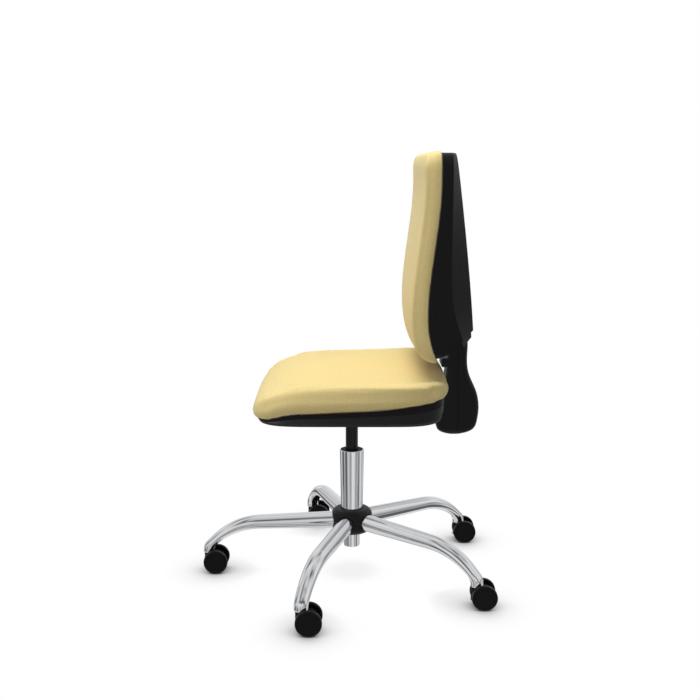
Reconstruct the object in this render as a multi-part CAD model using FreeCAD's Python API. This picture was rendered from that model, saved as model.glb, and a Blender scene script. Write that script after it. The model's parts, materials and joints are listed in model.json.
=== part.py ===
"""Swivel office chair: castors, chromed tube base, gas column, seat, and a backrest that tilts and slides.

Sizes are in millimetres. +Z is up, and the origin is on the floor under the column. The chair faces -Y,
and the sitter's left is +X.
"""
import FreeCAD
import Part
import math
import os

from FreeCAD import Vector

# Fits
running_fit = 0.05          # radial room of a shaft that turns or slides
seat_fit = 0.02             # radial room of a piece that is pressed or screwed home
slide_fit = 0.2             # room on each face of the bar in its slide
cover_gap = 0.3             # room round moulded covers
cloth_gap = 0.5             # room between a cushion and what it rests on

# Castors
castor_circle = 329.0       # radius of the circle on which the stems stand
castor_trail = 15.0         # the axle lies this far behind the stem
wheel_radius = 27.5
wheel_width = 11.3
wheel_spacing = 31.4        # between the inner faces of a pair of wheels
wheel_rim = 6.5             # width of the rounded rim round the recessed cap
wheel_shoulder = 4.2        # rounding between tread and rim
wheel_wall = 3.5
wheel_bevel = 1.0
cap_recess = 1.2
hood_side_gap = 1.2         # between the hood and a wheel
hood_edge = 4.0             # rounding of the hood's rim
hood_skirt = 12.0           # the hood reaches this far below the axle
stem_boss_radius = 12.5
axle_radius = 3.0
stem_radius = 4.0
stem_depth = 12.0           # how far the stem enters the leg
stem_grip = 17.0            # and how far it enters the hood
tip_below_wheel_top = 7.5   # the leg's end lies this far below the top of the wheels
tip_gap = 0.5               # between the hood and the leg's end

# Legs
leg_angles = {"front": -90, "left_front": -18, "left_rear": 54, "right_rear": 126, "right_front": 198}
leg_hub_height = 126.0      # height of a leg's centreline where it meets the column's axis
leg_droop = 2.0             # degrees below level, hub to bend
leg_tip_slope = 43.0        # degrees below level, bend to tip
leg_bend_radius = 160.0
leg_hub_radius = 20.0
leg_waist_thickness = 31.4  # where the bend begins
leg_waist_width = 37.0
leg_tip_overhang = 0.5      # the tip's middle lies this far outside the stem
leg_tip_thickness = 18.0
leg_tip_width = 30.0
cuff_height = 15.0          # upright end of the leg, over the castor
leg_wall = 1.8
mitre_gap = 0.1             # from a leg to the plane between it and its neighbour
flatten_ease = 1.6          # how late in the bend the tube is pressed flat

# Hub and column
hub_sleeve_radius = 29.0
hub_sleeve_height = 50.0
hub_cover_radius = 46.5
hub_cover_lip = 2.0
hub_cover_round = 15.0
column_top = 292.0
column_top_radius = 27.5
column_hub_radius = 25.0
column_taper_radius = 23.0
column_stub_radius = 18.5
column_foot = 64.0
column_wall = 2.0
column_floor = 4.0
column_step = 3.0
bush_length = 62.0
bush_recess = 1.5

# Gas spring
cylinder_radius = 14.0
cylinder_wall = 2.0
cylinder_foot = 150.0
cylinder_gland = 14.0
rod_radius = 5.0
rod_flange_radius = 9.0
rod_flange_height = 4.0
piston_height = 13.0
piston_rise = 95.0          # piston above the foot of the cylinder
bearing_height = 8.0
bearing_gap = 0.3
clip_radius = 10.0
clip_height = 2.2
cone_length = 38.0
cone_taper = 1.0            # radius lost over the cone
pin_radius = 4.0
pin_length = 54.0
pin_stand = 7.0             # the release pin stands this far out of the cone
pin_head_room = 8.0         # space under the release pin

# Seat board and mechanism
board_top = 425.0
board_thickness = 11.0
board_inset = 34.0          # from the cushion's widest line to the board's edge
board_front_inset = 88.0
board_rear_inset = 28.0
board_corner = 60.0
housing_depth = 53.0
housing_foot_width = 92.0
housing_top_width = 120.0
housing_front = 62.0        # ahead of the column's axis
housing_rear = 126.0        # behind the column's axis
housing_wall = 2.5
flange_width = 18.0
socket_radius = 20.0
socket_drop = 9.0           # the socket reaches this far below the housing
socket_flange = 8.0
bolt_radius = 3.0
bolt_head_radius = 6.0
bolt_head_height = 5.0
bolt_end_cover = 2.0        # wood left over the end of a bolt
bolt_front = 50.0
bolt_rear = 100.0
arm_hole_radius = 4.2
arm_hole_spacing = 60.0
arm_hole_offset = 150.0     # from the middle of the seat to the armrest holes
arm_access_radius = 10.0

# Levers, on the sitter's right
lever_radius = 4.5
lever_rise = 21.0           # above the foot of the housing
lever_reach = 236.0
height_lever_front = 34.0   # ahead of the column's axis
tilt_lever_rear = 66.0      # behind the column's axis
lever_tail = 7.0
finger_width = 8.0
finger_thickness = 8.0
finger_nose = 4.0
finger_gap = 0.3
cam_radius = 9.0
cam_offset = 3.0
cam_width = 20.0
grip_length = 96.0
grip_width = 42.0
grip_thickness = 12.0
grip_round = 3.0
grip_neck = 16.0

# Back bar and its pivot
pivot_rear = 112.0          # behind the column's axis
pivot_rise = 16.0           # above the foot of the housing
pivot_pin_radius = 6.0
pivot_head_radius = 9.0
pivot_head_height = 3.0
eye_radius = 13.5
eye_bore_radius = 10.0
bar_width = 50.0
bar_thickness = 8.0
bar_bend_radius = 22.0      # inside of the bend
bar_middle = 230.0          # the upright stretch, behind the column's axis
bar_top = 745.0
pivot_side_gap = 0.3

# Upright cover
cover_foot = 338.0
cover_top = 598.0
cover_wall = 2.6
cover_front_top = 213.0
cover_front_foot = 175.0
cover_rear_top = 256.0
cover_rear_bulge = 24.5
cover_tongue = 533.0        # above this height the cover runs up inside the back shell
cover_tongue_slope = 0.12   # and its rear leans forward
cover_calf_rise = 74.0      # the calf is full up to this far above the foot
cover_calf_fade = 80.0      # and gone this much higher
cover_half_width_top = 34.0
cover_half_width_foot = 50.0
cover_corner = 14.0
cover_corner_share = 0.8    # most that a corner takes of half the depth
cover_foot_round = 46.0     # height of the rounded foot
cover_foot_share = 0.97     # how far round its oval the foot is carried
cover_foot_power = 2.5
cover_sole_share = 0.6      # width left at the sole
cover_split = 234.0         # parting line of the two halves
cover_boss_radius = 6.0
cover_boss_low = 430.0
cover_boss_high = 520.0
knuckle_low = 487.0         # small block on the front of the cover, under the backrest
knuckle_high = 508.0
knuckle_front = 198.0
knuckle_half_width = 30.0
knuckle_round = 5.0

# Seat cushion and shell
seat_half_width = 220.0
seat_front = 212.0          # ahead of the column's axis
seat_rear = 206.0           # behind the column's axis
seat_top = 494.0
seam_height = 434.0         # the seam between cushion and shell, over the column
seam_slope = 0.05
seam_rear_lift = 14.0
seam_lift_start = 20.0
seam_front_dip = 12.0       # the cushion wraps down over the shell's front
seam_dip_start = 118.0      # ahead of the column's axis
seam_dip_end = 190.0
seat_tuck = 7.0             # the side is drawn in this far at the seam
seat_shoulder = 35.0        # and this far at the upper edge
seat_edge_share = 0.7       # height of the upper edge, as a share of the crown
core_inset = 14.0           # from the board's edge to the foam that rests on the board
bulge_share = 0.45          # height of a cushion's widest line, as a share of its upper edge
seat_plan_power = 6.0
seat_front_power = 2.5
seat_rear_power = 5.0
shell_wall = 3.0
shell_floor = 393.0
shell_end_inset = 8.0
shell_rim_gap = 1.5
skirt_drop = 3.0            # the cushion's lower edge hangs this far over the rim
skirt_width = 8.0
shell_rim_inset = 6.0       # the rim is drawn in over the crease
shell_crease_share = 0.33
shell_low_inset = 17.0
shell_low_rise = 8.0
shell_low_round = 10.0
shell_power = 9.0
shell_cut_gap = 8.0         # round the mechanism
shell_boss_radius = 8.0
shell_boss_side = 120.0
shell_boss_front = 110.0
shell_boss_rear = 120.0

# Backrest
back_half_width = 203.0
back_foot = 524.0
back_top = 956.0
back_thickness = 33.0
back_crown = 6.0
back_tuck = 4.0
back_shoulder = 17.0
back_power = 14.0
back_top_round = 18.0       # rounding of the cushion's upper end
back_foot_round = 36.0      # and of its lower end
lumbar_height = 625.0
lumbar_place = 154.5        # the seam's distance behind the column's axis at the lumbar
lumbar_upper = 24.0         # set back of the seam above the lumbar
lumbar_upper_reach = 268.0
lumbar_lower = 20.0         # and below it
lumbar_lower_reach = 95.0
back_board_thickness = 9.0
back_board_inset = 26.0
back_shell_wall = 3.0
back_shell_top_place = 218.0
back_shell_foot_place = 261.0
back_shell_foot_height = 549.0
back_shell_curve = 1.3
back_shell_crease_place = 201.0
back_shell_crease_sweep = 26.0
back_shell_crease_height = 700.0
back_shell_crease_reach = 125.0
back_shell_bevel = 60.0
back_shell_bevel_drop = 6.0
back_shell_side_lean = 6.0
back_shell_top_inset = 3.0
back_shell_cut_front = 533.0    # height of the slanting lower edge at the seam
back_shell_cut_slope = 27.7     # degrees
back_shell_gap = 0.6
back_shell_lip = 14.0       # height of the strip along the lower edge
back_shell_lip_inset = 4.0  # and how far it is set in
tongue_gap = 2.0            # from the upright cover to the mouth in the shell's lower edge
back_boss_radius = 7.0
back_boss_side = 120.0
back_boss_low = 640.0
back_boss_high = 860.0

# Back slide
slide_low = 620.0
slide_height = 80.0
slide_half_width = 40.0
slide_rear_wall = 8.0
ear_half_width = 64.0
ear_thickness = 9.0
ear_bolt_side = 52.0
ear_bolt_inset = 20.0

# Values that follow from the sizes above
leg_tip_height = 2 * wheel_radius - tip_below_wheel_top
hood_top = leg_tip_height - tip_gap
cuff_top = leg_tip_height + cuff_height
wheel_inner = wheel_spacing / 2
wheel_outer = wheel_inner + wheel_width
hood_half_width = wheel_inner - hood_side_gap
hub_top = leg_hub_height + hub_sleeve_height / 2 + hub_cover_lip
hub_foot = leg_hub_height - hub_sleeve_height / 2 - hub_cover_lip
board_foot = board_top - board_thickness
housing_foot = board_foot - housing_depth
cone_foot = housing_foot - socket_drop
cone_top = cone_foot + cone_length
pin_top = cone_top + pin_stand
lever_height = housing_foot + lever_rise
pivot_height = housing_foot + pivot_rise
bar_front_face = bar_middle - bar_thickness / 2
bar_rear_face = bar_middle + bar_thickness / 2
cover_bulge_low = cover_foot + cover_calf_rise
cover_bulge_high = cover_bulge_low + cover_calf_fade

x_axis = Vector(1, 0, 0)
y_axis = Vector(0, 1, 0)
z_axis = Vector(0, 0, 1)
far = 2000.0                # larger than the chair, for cutting blocks
loft_degree = 3
nodes = {}


# Shape helpers
def ease(share):
    """0 to 1 with a soft start and end."""
    share = min(max(share, 0.0), 1.0)
    return share * share * (3 - 2 * share)


def swell(share, power):
    """Half an oval: 1 in the middle and 0 at the ends, squarer for a higher power."""
    return (1 - abs(share) ** power) ** (1 / power)


def across(x, y):
    return Vector(x, y, 0)


def profile(r, z):
    return Vector(r, 0, z)


def sideways(y, z):
    return Vector(0, y, z)


def outline(place, start, *steps):
    """Closed wire. A step (a, b) is a line to that point, (a, b, c, d) an arc through (a, b) to (c, d)."""
    edges = []
    here = start
    for step in steps + (start,):
        end = tuple(step[-2:])
        if len(step) == 4:
            edges.append(Part.Arc(place(*here), place(*step[:2]), place(*end)).toShape())
        elif end != here:
            edges.append(Part.makeLine(place(*here), place(*end)))
        here = end
    return Part.Wire(edges)


def turned(start, *steps):
    """Solid turned about Z from a profile of (radius, height) points."""
    return Part.Face(outline(profile, start, *steps)).revolve(Vector(), z_axis, 360)


def turned_on_x(start, *steps):
    """Solid turned about X from a profile of (place on X, radius) points."""
    return Part.Face(outline(profile, start, *steps)).revolve(Vector(), x_axis, 360)


def drawn_on_x(half_width, start, *steps):
    """Solid of a (Y, Z) outline, drawn out both ways along X."""
    solid = Part.Face(outline(sideways, start, *steps)).extrude(x_axis * (2 * half_width))
    solid.translate(x_axis * -half_width)
    return solid


def drawn_up(low, high, start, *steps):
    """Solid of an (X, Y) outline, drawn up from one height to another."""
    solid = Part.Face(outline(across, start, *steps)).extrude(z_axis * (high - low))
    solid.translate(z_axis * low)
    return solid


def rod(radius, start, end):
    direction = end - start
    return Part.makeCylinder(radius, direction.Length, start, direction)


def block(low, high):
    size = high - low
    return Part.makeBox(size.x, size.y, size.z, low)


def rounded_plate(half_width, front, rear, corner, low, high):
    """Plate with round corners, between two places on Y and two heights."""
    dip = corner * (1 - math.sqrt(0.5))
    w = half_width
    c = corner
    return drawn_up(
        low, high, (-w + c, front), (w - c, front), (w - dip, front + dip, w, front + c),
        (w, rear - c), (w - dip, rear - dip, w - c, rear), (-w + c, rear),
        (-w + dip, rear - dip, -w, rear - c), (-w, front + c), (-w + dip, front + dip, -w + c, front))


def loft(sections):
    """Smooth solid through a row of closed wires."""
    return Part.makeLoft(sections, True, False, False, loft_degree)


def one_solid(shape):
    """The single solid that a chain of cuts and joins leaves."""
    shape = shape.removeSplitter()
    return shape.Solids[0] if len(shape.Solids) == 1 else shape


# Castors
def wheel(side):
    """One wheel, turned about the axle: tread, rounded rim, recessed cap, hub and a hollow inner face."""
    inner = side * wheel_inner
    outer = side * wheel_outer
    hub = side * (hood_half_width + hood_side_gap / 2)
    bore = axle_radius + running_fit
    tread_end = outer - side * wheel_shoulder
    tread_foot = wheel_radius - wheel_shoulder
    dip = wheel_shoulder * (1 - math.sqrt(0.5))
    cap = outer - side * cap_recess
    cap_radius = wheel_radius - wheel_rim
    bore_end = outer - side * wheel_width / 3
    hollow = inner + side * wheel_width / 3
    return turned_on_x(
        (hub, bore), (hub, 2 * bore), (hollow, 2 * bore), (hollow, wheel_radius - wheel_wall),
        (inner, wheel_radius - wheel_wall), (inner, wheel_radius - wheel_bevel),
        (inner + side * wheel_bevel, wheel_radius), (tread_end, wheel_radius),
        (outer - side * dip, wheel_radius - dip, outer, tread_foot), (outer, cap_radius + cap_recess),
        (cap, cap_radius), (cap, 0), (bore_end, 0), (bore_end, bore))


def castor_hood():
    """Round hood between the wheels, with an upright boss for the stem. The axle is at the origin."""
    w = hood_half_width
    r = hood_top - wheel_radius
    e = hood_edge
    dip = e * (1 - math.sqrt(0.5))
    drum = turned_on_x((-w, 0), (-w, r - e), (-w + dip, r - dip, -w + e, r), (w - e, r),
                       (w - dip, r - dip, w, r - e), (w, 0))
    boss = rod(stem_boss_radius, Vector(0, -castor_trail, -hood_skirt), Vector(0, -castor_trail, r))
    hood = drum.fuse(boss).cut(block(Vector(-far, -far, -far), Vector(far, far, -hood_skirt)))
    hood = hood.cut(rod(axle_radius + seat_fit, Vector(-far, 0, 0), Vector(far, 0, 0)))
    return one_solid(hood.cut(stem_pin(seat_fit)))


def stem_pin(room):
    """Steel stem from the hood up into the leg, as seen from the axle, with room round it."""
    low = hood_top - stem_grip - wheel_radius
    high = leg_tip_height + stem_depth - wheel_radius
    chamfer = stem_radius / 3
    pin = turned((0, low), (stem_radius + room, low), (stem_radius + room, high - chamfer),
                 (stem_radius - chamfer + room, high), (0, high))
    pin.translate(y_axis * -castor_trail)
    return pin


def make_castors():
    axle_end = wheel_outer - wheel_width / 3 - running_fit
    axle = rod(axle_radius, Vector(-axle_end, 0, 0), Vector(axle_end, 0, 0))
    pieces = {
        "hood": castor_hood(),
        "pins": Part.makeCompound([stem_pin(0), axle]),
        "wheel_left": wheel(1),
        "wheel_right": wheel(-1),
    }
    for place, angle in leg_angles.items():
        turn = math.radians(angle)
        stem = Vector(castor_circle * math.cos(turn), castor_circle * math.sin(turn), wheel_radius)
        for piece, shape in pieces.items():
            nodes["castor_" + place + "_" + piece] = shape.translated(stem + y_axis * castor_trail)


# Legs
class LegLine:
    """Centreline of a leg in the plane of X and Z: level run, one bend, straight run to the tip."""

    def __init__(self):
        self.droop = math.radians(leg_droop)
        self.slope = math.radians(leg_tip_slope)
        turn = self.slope - self.droop
        fall = leg_hub_height - cuff_top
        reach = castor_circle + leg_tip_overhang
        tangent = leg_bend_radius * math.tan(turn / 2)
        to_corner = (reach * math.sin(self.slope) - fall * math.cos(self.slope)) / math.sin(turn)
        from_corner = (fall * math.cos(self.droop) - reach * math.sin(self.droop)) / math.sin(turn)
        self.level = to_corner - tangent
        self.bend = leg_bend_radius * turn
        self.length = self.level + self.bend + from_corner - tangent

    def at(self, along):
        """Point on the line and its angle below level."""
        run = min(along, self.level)
        r = run * math.cos(self.droop)
        z = leg_hub_height - run * math.sin(self.droop)
        angle = self.droop + min(max(along - self.level, 0), self.bend) / leg_bend_radius
        r += leg_bend_radius * (math.sin(angle) - math.sin(self.droop))
        z += leg_bend_radius * (math.cos(angle) - math.cos(self.droop))
        run = max(along - self.level - self.bend, 0)
        return r + run * math.cos(angle), z - run * math.sin(angle), angle

    def section(self, along, inset):
        """Oval across the tube, made smaller by an inset."""
        r, z, angle = self.at(along)
        if along < self.level:
            share = along / self.level
            half_thickness = leg_hub_radius + (leg_waist_thickness / 2 - leg_hub_radius) * share
            half_width = leg_hub_radius + (leg_waist_width / 2 - leg_hub_radius) * share
        else:
            share = min((along - self.level) / (self.length - self.level), 1) ** flatten_ease
            half_thickness = (leg_waist_thickness + (leg_tip_thickness - leg_waist_thickness) * share) / 2
            half_width = (leg_waist_width + (leg_tip_width - leg_waist_width) * share) / 2
        centre = Vector(r, 0, z)
        wide = centre + y_axis * (half_width - inset + 1e-4)
        thick = centre + Vector(math.sin(angle), 0, math.cos(angle)) * (half_thickness - inset)
        return Part.Wire([Part.Ellipse(wide, thick, centre).toShape()])


def cuff_section(z, inset):
    """Oval across the upright end of a leg along X, made smaller by an inset."""
    centre = Vector(castor_circle + leg_tip_overhang, 0, z)
    half_depth = leg_tip_thickness / 2 / math.sin(math.radians(leg_tip_slope)) - inset
    half_width = leg_tip_width / 2 - inset
    oval = Part.Ellipse(centre + y_axis * half_width, centre + x_axis * half_depth, centre)
    return Part.Wire([oval.toShape()])


def leg_form(inset):
    """A leg along X as a solid tube, from inside the hub to just below its tip."""
    line = LegLine()
    stations = [leg_hub_radius] + [line.level * share for share in (0.3, 0.5, 0.7, 0.86, 1)]
    stations += [line.level + line.bend * share for share in (0.25, 0.5, 0.75, 1)]
    heights = [cuff_top, cuff_top - cuff_height / 3, leg_tip_height - leg_wall]
    sections = [line.section(along, inset) for along in stations]
    return loft(sections + [cuff_section(z, inset) for z in heights])


def mitre_wedge():
    """Room of one leg beside its neighbours: a wedge along X, from the column's axis outwards."""
    half = math.pi / len(leg_angles)
    tip = mitre_gap / math.sin(half)
    return drawn_up(0, column_top, (tip, 0), (far, -(far - tip) * math.tan(half)),
                    (far, (far - tip) * math.tan(half)))


def make_legs():
    below_tip = block(Vector(-far, -far, -far), Vector(far, far, leg_tip_height))
    above_cuff = block(Vector(-far, -far, cuff_top), Vector(far, far, far))
    sleeve = rod(hub_sleeve_radius + seat_fit, Vector(), z_axis * column_top)
    foot = Vector(castor_circle, 0, 0)
    tube = leg_form(0).cut(leg_form(leg_wall)).cut(below_tip).cut(sleeve)
    tube = one_solid(tube.common(mitre_wedge()))
    insert = leg_form(leg_wall + seat_fit).cut(below_tip).cut(above_cuff)
    insert = insert.cut(rod(stem_radius + running_fit, foot, foot + z_axis * far))
    inserts = []
    for place, angle in leg_angles.items():
        nodes["leg_" + place] = tube.rotated(Vector(), z_axis, angle)
        inserts.append(one_solid(insert).rotated(Vector(), z_axis, angle))
    nodes["stem_inserts"] = Part.makeCompound(inserts)


# Hub, column and gas spring
def column_radius(z):
    """Outer radius of the column at a height from the foot of the hub up."""
    if z < hub_top:
        share = (z - hub_foot) / (hub_top - hub_foot)
        return column_taper_radius + (column_hub_radius - column_taper_radius) * share
    share = (z - hub_top) / (column_top - hub_top)
    return column_hub_radius + (column_top_radius - column_hub_radius) * share


def make_hub():
    low = hub_foot + hub_cover_lip
    high = hub_top - hub_cover_lip
    nodes["hub_sleeve"] = turned(
        (column_radius(low) + seat_fit, low), (hub_sleeve_radius, low), (hub_sleeve_radius, high),
        (column_radius(high) + seat_fit, high))
    flat = hub_cover_radius - hub_cover_round
    dip = hub_cover_round * (1 - math.sqrt(0.5))
    bore = hub_sleeve_radius + cover_gap
    cover = turned(
        (column_radius(hub_foot) + cover_gap, hub_foot), (flat, hub_foot),
        (hub_cover_radius - dip, hub_foot + dip, hub_cover_radius, hub_foot + hub_cover_round),
        (hub_cover_radius, hub_top - hub_cover_round),
        (hub_cover_radius - dip, hub_top - dip, flat, hub_top),
        (column_radius(hub_top) + cover_gap, hub_top), (column_radius(high) + cover_gap, high + cover_gap),
        (bore, high + cover_gap), (bore, low - cover_gap), (column_radius(low) + cover_gap, low - cover_gap))
    for angle in leg_angles.values():
        cover = cover.cut(leg_form(-cover_gap).rotated(Vector(), z_axis, angle))
    upper = block(Vector(-far, -far, leg_hub_height), Vector(far, far, far))
    nodes["hub_cover_top"] = one_solid(cover.common(upper))
    nodes["hub_cover_bottom"] = one_solid(cover.cut(upper))


def make_column():
    step = hub_foot - column_step
    floor = column_foot + column_floor
    hole = rod_radius + 4 * running_fit
    w = column_wall
    nodes["column_tube"] = turned(
        (hole, column_foot), (column_stub_radius, column_foot), (column_stub_radius, step),
        (column_taper_radius, hub_foot), (column_hub_radius, hub_top), (column_top_radius, column_top),
        (column_top_radius - w, column_top), (column_hub_radius - w, hub_top),
        (column_taper_radius - w, hub_foot), (column_stub_radius - w, step), (column_stub_radius - w, floor),
        (hole, floor))
    high = column_top - bush_recess
    low = high - bush_length
    inside = w + seat_fit
    nodes["guide_bush"] = turned(
        (cylinder_radius + running_fit, low), (column_radius(low) - inside, low),
        (column_radius(high) - inside, high), (cylinder_radius + running_fit, high))
    nodes["thrust_bearing"] = turned(
        (rod_radius + bearing_gap, floor), (column_stub_radius - w - bearing_gap, floor),
        (column_stub_radius - w - bearing_gap, floor + bearing_height),
        (rod_radius + bearing_gap, floor + bearing_height))


def make_gas_spring():
    flange = column_foot + column_floor + bearing_height + running_fit
    piston = cylinder_foot + piston_rise
    bore = cylinder_radius - cylinder_wall
    rod_end = column_foot - clip_height - 2 * bearing_gap
    nodes["piston_rod"] = turned(
        (0, rod_end), (rod_radius, rod_end), (rod_radius, flange), (rod_flange_radius, flange),
        (rod_flange_radius, flange + rod_flange_height), (rod_radius, flange + rod_flange_height),
        (rod_radius, piston), (bore - running_fit, piston), (bore - running_fit, piston + piston_height),
        (0, piston + piston_height))
    clip_top = column_foot - bearing_gap
    nodes["rod_clip"] = turned(
        (rod_radius + seat_fit, clip_top - clip_height), (clip_radius, clip_top - clip_height),
        (clip_radius, clip_top), (rod_radius + seat_fit, clip_top))
    pin_hole = pin_radius + running_fit
    pin_foot = pin_top - pin_length
    rod_hole = rod_radius + running_fit
    gland_top = cylinder_foot + cylinder_gland
    nodes["gas_cylinder"] = turned(
        (rod_hole, cylinder_foot), (bore, cylinder_foot), (cylinder_radius, cylinder_foot + cylinder_wall),
        (cylinder_radius, cone_foot), (cylinder_radius - cone_taper, cone_top), (pin_hole, cone_top),
        (pin_hole, pin_foot - pin_head_room), (bore, pin_foot - pin_head_room), (bore, gland_top),
        (rod_hole, gland_top))
    nodes["release_pin"] = rod(pin_radius, z_axis * pin_foot, z_axis * pin_top)


# Seat mechanism
def housing_half_width(z):
    """Outer half width of the housing at a height."""
    share = (z - housing_foot) / housing_depth
    return (housing_foot_width + (housing_top_width - housing_foot_width) * share) / 2


def housing_form(inset):
    """The housing as a solid block, narrower below, made smaller by an inset and then open above."""
    def frame(z):
        w = housing_half_width(z) - inset
        corners = [Vector(x, y, z) for x, y in ((-w, -housing_front + inset), (w, -housing_front + inset),
                                                (w, housing_rear - inset), (-w, housing_rear - inset))]
        return Part.makePolygon(corners + corners[:1])
    top = board_foot + inset
    return Part.makeLoft([frame(housing_foot + inset), frame(top)], True, True)


def seat_bolt_places():
    side = housing_top_width / 2 + flange_width / 2
    return [Vector(x, y, board_foot) for x in (-side, side) for y in (-bolt_front, bolt_rear)]


def make_mechanism():
    flange = rounded_plate(
        housing_top_width / 2 + flange_width, -housing_front - flange_width, housing_rear + flange_width,
        flange_width, board_foot - housing_wall, board_foot)
    housing = housing_form(0).fuse(flange).cut(housing_form(housing_wall))
    housing = housing.cut(rod(socket_radius + seat_fit, z_axis * cone_foot, z_axis * (housing_foot + far)))
    for y in (-height_lever_front, tilt_lever_rear):
        start = Vector(-far, y, lever_height)
        housing = housing.cut(rod(lever_radius + running_fit, start, start + x_axis * (2 * far)))
    start = Vector(-far, pivot_rear, pivot_height)
    housing = housing.cut(rod(pivot_pin_radius + seat_fit, start, start + x_axis * (2 * far)))
    slot = bar_width / 2 + eye_radius
    housing = housing.cut(block(
        Vector(-slot, pivot_rear - eye_radius, housing_foot - bar_thickness),
        Vector(slot, housing_rear + bar_thickness, pivot_height + eye_radius + bar_thickness)))
    bolts = []
    head = z_axis * (housing_wall + bolt_head_height)
    for place in seat_bolt_places():
        seat = place - z_axis * housing_wall
        tip = place + z_axis * (board_thickness - bolt_end_cover)
        housing = housing.cut(rod(bolt_radius + seat_fit, place - z_axis * far, place + z_axis * far))
        bolts.append(rod(bolt_head_radius, place - head, seat).fuse(rod(bolt_radius, seat, tip)))
    nodes["mechanism_housing"] = one_solid(housing)
    nodes["seat_bolts"] = Part.makeCompound([one_solid(bolt) for bolt in bolts])

    floor = housing_foot + housing_wall
    cone_fit = cylinder_radius + seat_fit
    nodes["cone_socket"] = turned(
        (cone_fit, cone_foot), (socket_radius, cone_foot), (socket_radius, floor),
        (socket_radius + socket_flange, floor), (socket_radius + socket_flange, floor + housing_wall),
        (socket_radius, floor + housing_wall), (socket_radius, cone_top - 2),
        (cone_fit - cone_taper, cone_top))

    eye_end = bar_width / 2 + pivot_side_gap
    wall_inside = housing_half_width(pivot_height - eye_bore_radius) - housing_wall
    pin_end = housing_half_width(pivot_height + pivot_head_radius) + seat_fit
    head_end = pin_end + pivot_head_height
    pin = turned_on_x(
        (-pin_end, 0), (-pin_end, pivot_pin_radius), (pin_end, pivot_pin_radius),
        (pin_end, pivot_head_radius), (head_end, pivot_head_radius), (head_end, 0))
    spacer_end = wall_inside - seat_fit
    bore = pivot_pin_radius + seat_fit
    spacers = [turned_on_x((side * eye_end, bore), (side * eye_end, eye_bore_radius),
                           (side * spacer_end, eye_bore_radius), (side * spacer_end, bore))
               for side in (-1, 1)]
    place = Vector(0, pivot_rear, pivot_height)
    nodes["pivot_pin"] = pin.translated(place)
    nodes["pivot_spacers"] = Part.makeCompound(spacers).translated(place)


def grip():
    """Flat paddle on the end of a lever, with the lever's axis through the origin along X."""
    tip = -lever_reach
    root = tip + grip_length
    neck = grip_neck / 2
    front = neck - grip_width
    turn = grip_neck / 2
    dip = turn * (1 - math.sqrt(0.5))
    shoulder = root - grip_length / 3
    paddle = drawn_up(
        -grip_thickness / 2, grip_thickness / 2, (root, neck), (tip + turn, neck),
        (tip + dip, neck - dip, tip, neck - turn), (tip, front + turn),
        (tip + dip, front + dip, tip + turn, front), (shoulder - turn, front),
        (shoulder, front + turn / 2, shoulder + turn / 2, front / 2), (root, -neck))
    paddle = paddle.makeFillet(grip_round, paddle.Edges)
    socket = rod(lever_radius + seat_fit, Vector(lever_shaft_end(), 0, 0), Vector(far, 0, 0))
    return one_solid(paddle.cut(socket))


def lever_shaft_end():
    return -lever_reach + grip_length / 3


def make_levers():
    tail = housing_half_width(lever_height) + lever_tail
    shaft = rod(lever_radius, Vector(lever_shaft_end(), 0, 0), Vector(tail, 0, 0))
    half = finger_width / 2
    nose = pin_top + finger_gap + finger_nose - lever_height
    over = nose + finger_nose
    t = finger_thickness
    hub = rod(2 * lever_radius, Vector(-half, 0, 0), Vector(half, 0, 0))
    reach = height_lever_front
    arm = drawn_on_x(half, (-t, 0), (-t / 2, over), (reach, over), (reach, nose - finger_nose / 2),
                     (t / 2, nose - finger_nose / 2), (t, 0))
    tip = rod(finger_nose, Vector(-half, reach, nose), Vector(half, reach, nose))
    height_place = Vector(0, -height_lever_front, lever_height)
    nodes["height_lever"] = one_solid(shaft.fuse([hub, arm, tip])).translated(height_place)
    nodes["height_grip"] = grip().translated(height_place)

    cam = rod(cam_radius, Vector(-cam_width / 2, 0, cam_offset), Vector(cam_width / 2, 0, cam_offset))
    tilt_place = Vector(0, tilt_lever_rear, lever_height)
    nodes["tilt_lever"] = one_solid(shaft.fuse(cam)).translated(tilt_place)
    nodes["tilt_grip"] = grip().translated(tilt_place)


# Back bar and upright cover
def make_back_bar():
    half = bar_thickness / 2
    low = pivot_height - half
    high = pivot_height + half
    centre_y = bar_front_face - bar_bend_radius
    centre_z = high + bar_bend_radius
    outer = bar_bend_radius + bar_thickness
    bow = math.sqrt(0.5)
    inner = bar_bend_radius
    strip = drawn_on_x(
        bar_width / 2, (pivot_rear, low), (centre_y, low),
        (centre_y + outer * bow, centre_z - outer * bow, bar_rear_face, centre_z), (bar_rear_face, bar_top),
        (bar_front_face, bar_top), (bar_front_face, centre_z),
        (centre_y + inner * bow, centre_z - inner * bow, centre_y, high), (pivot_rear, high))
    side = x_axis * (bar_width / 2)
    place = Vector(0, pivot_rear, pivot_height)
    eye = rod(eye_radius, place - side, place + side)
    bore = rod(eye_bore_radius, place - side * 2, place + side * 2)
    nodes["back_bar"] = one_solid(strip.fuse(eye).cut(bore))
    bush = rod(eye_bore_radius - seat_fit, place - side, place + side)
    nodes["torsion_bush"] = bush.cut(rod(pivot_pin_radius + running_fit, place - side * 2, place + side * 2))


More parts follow.
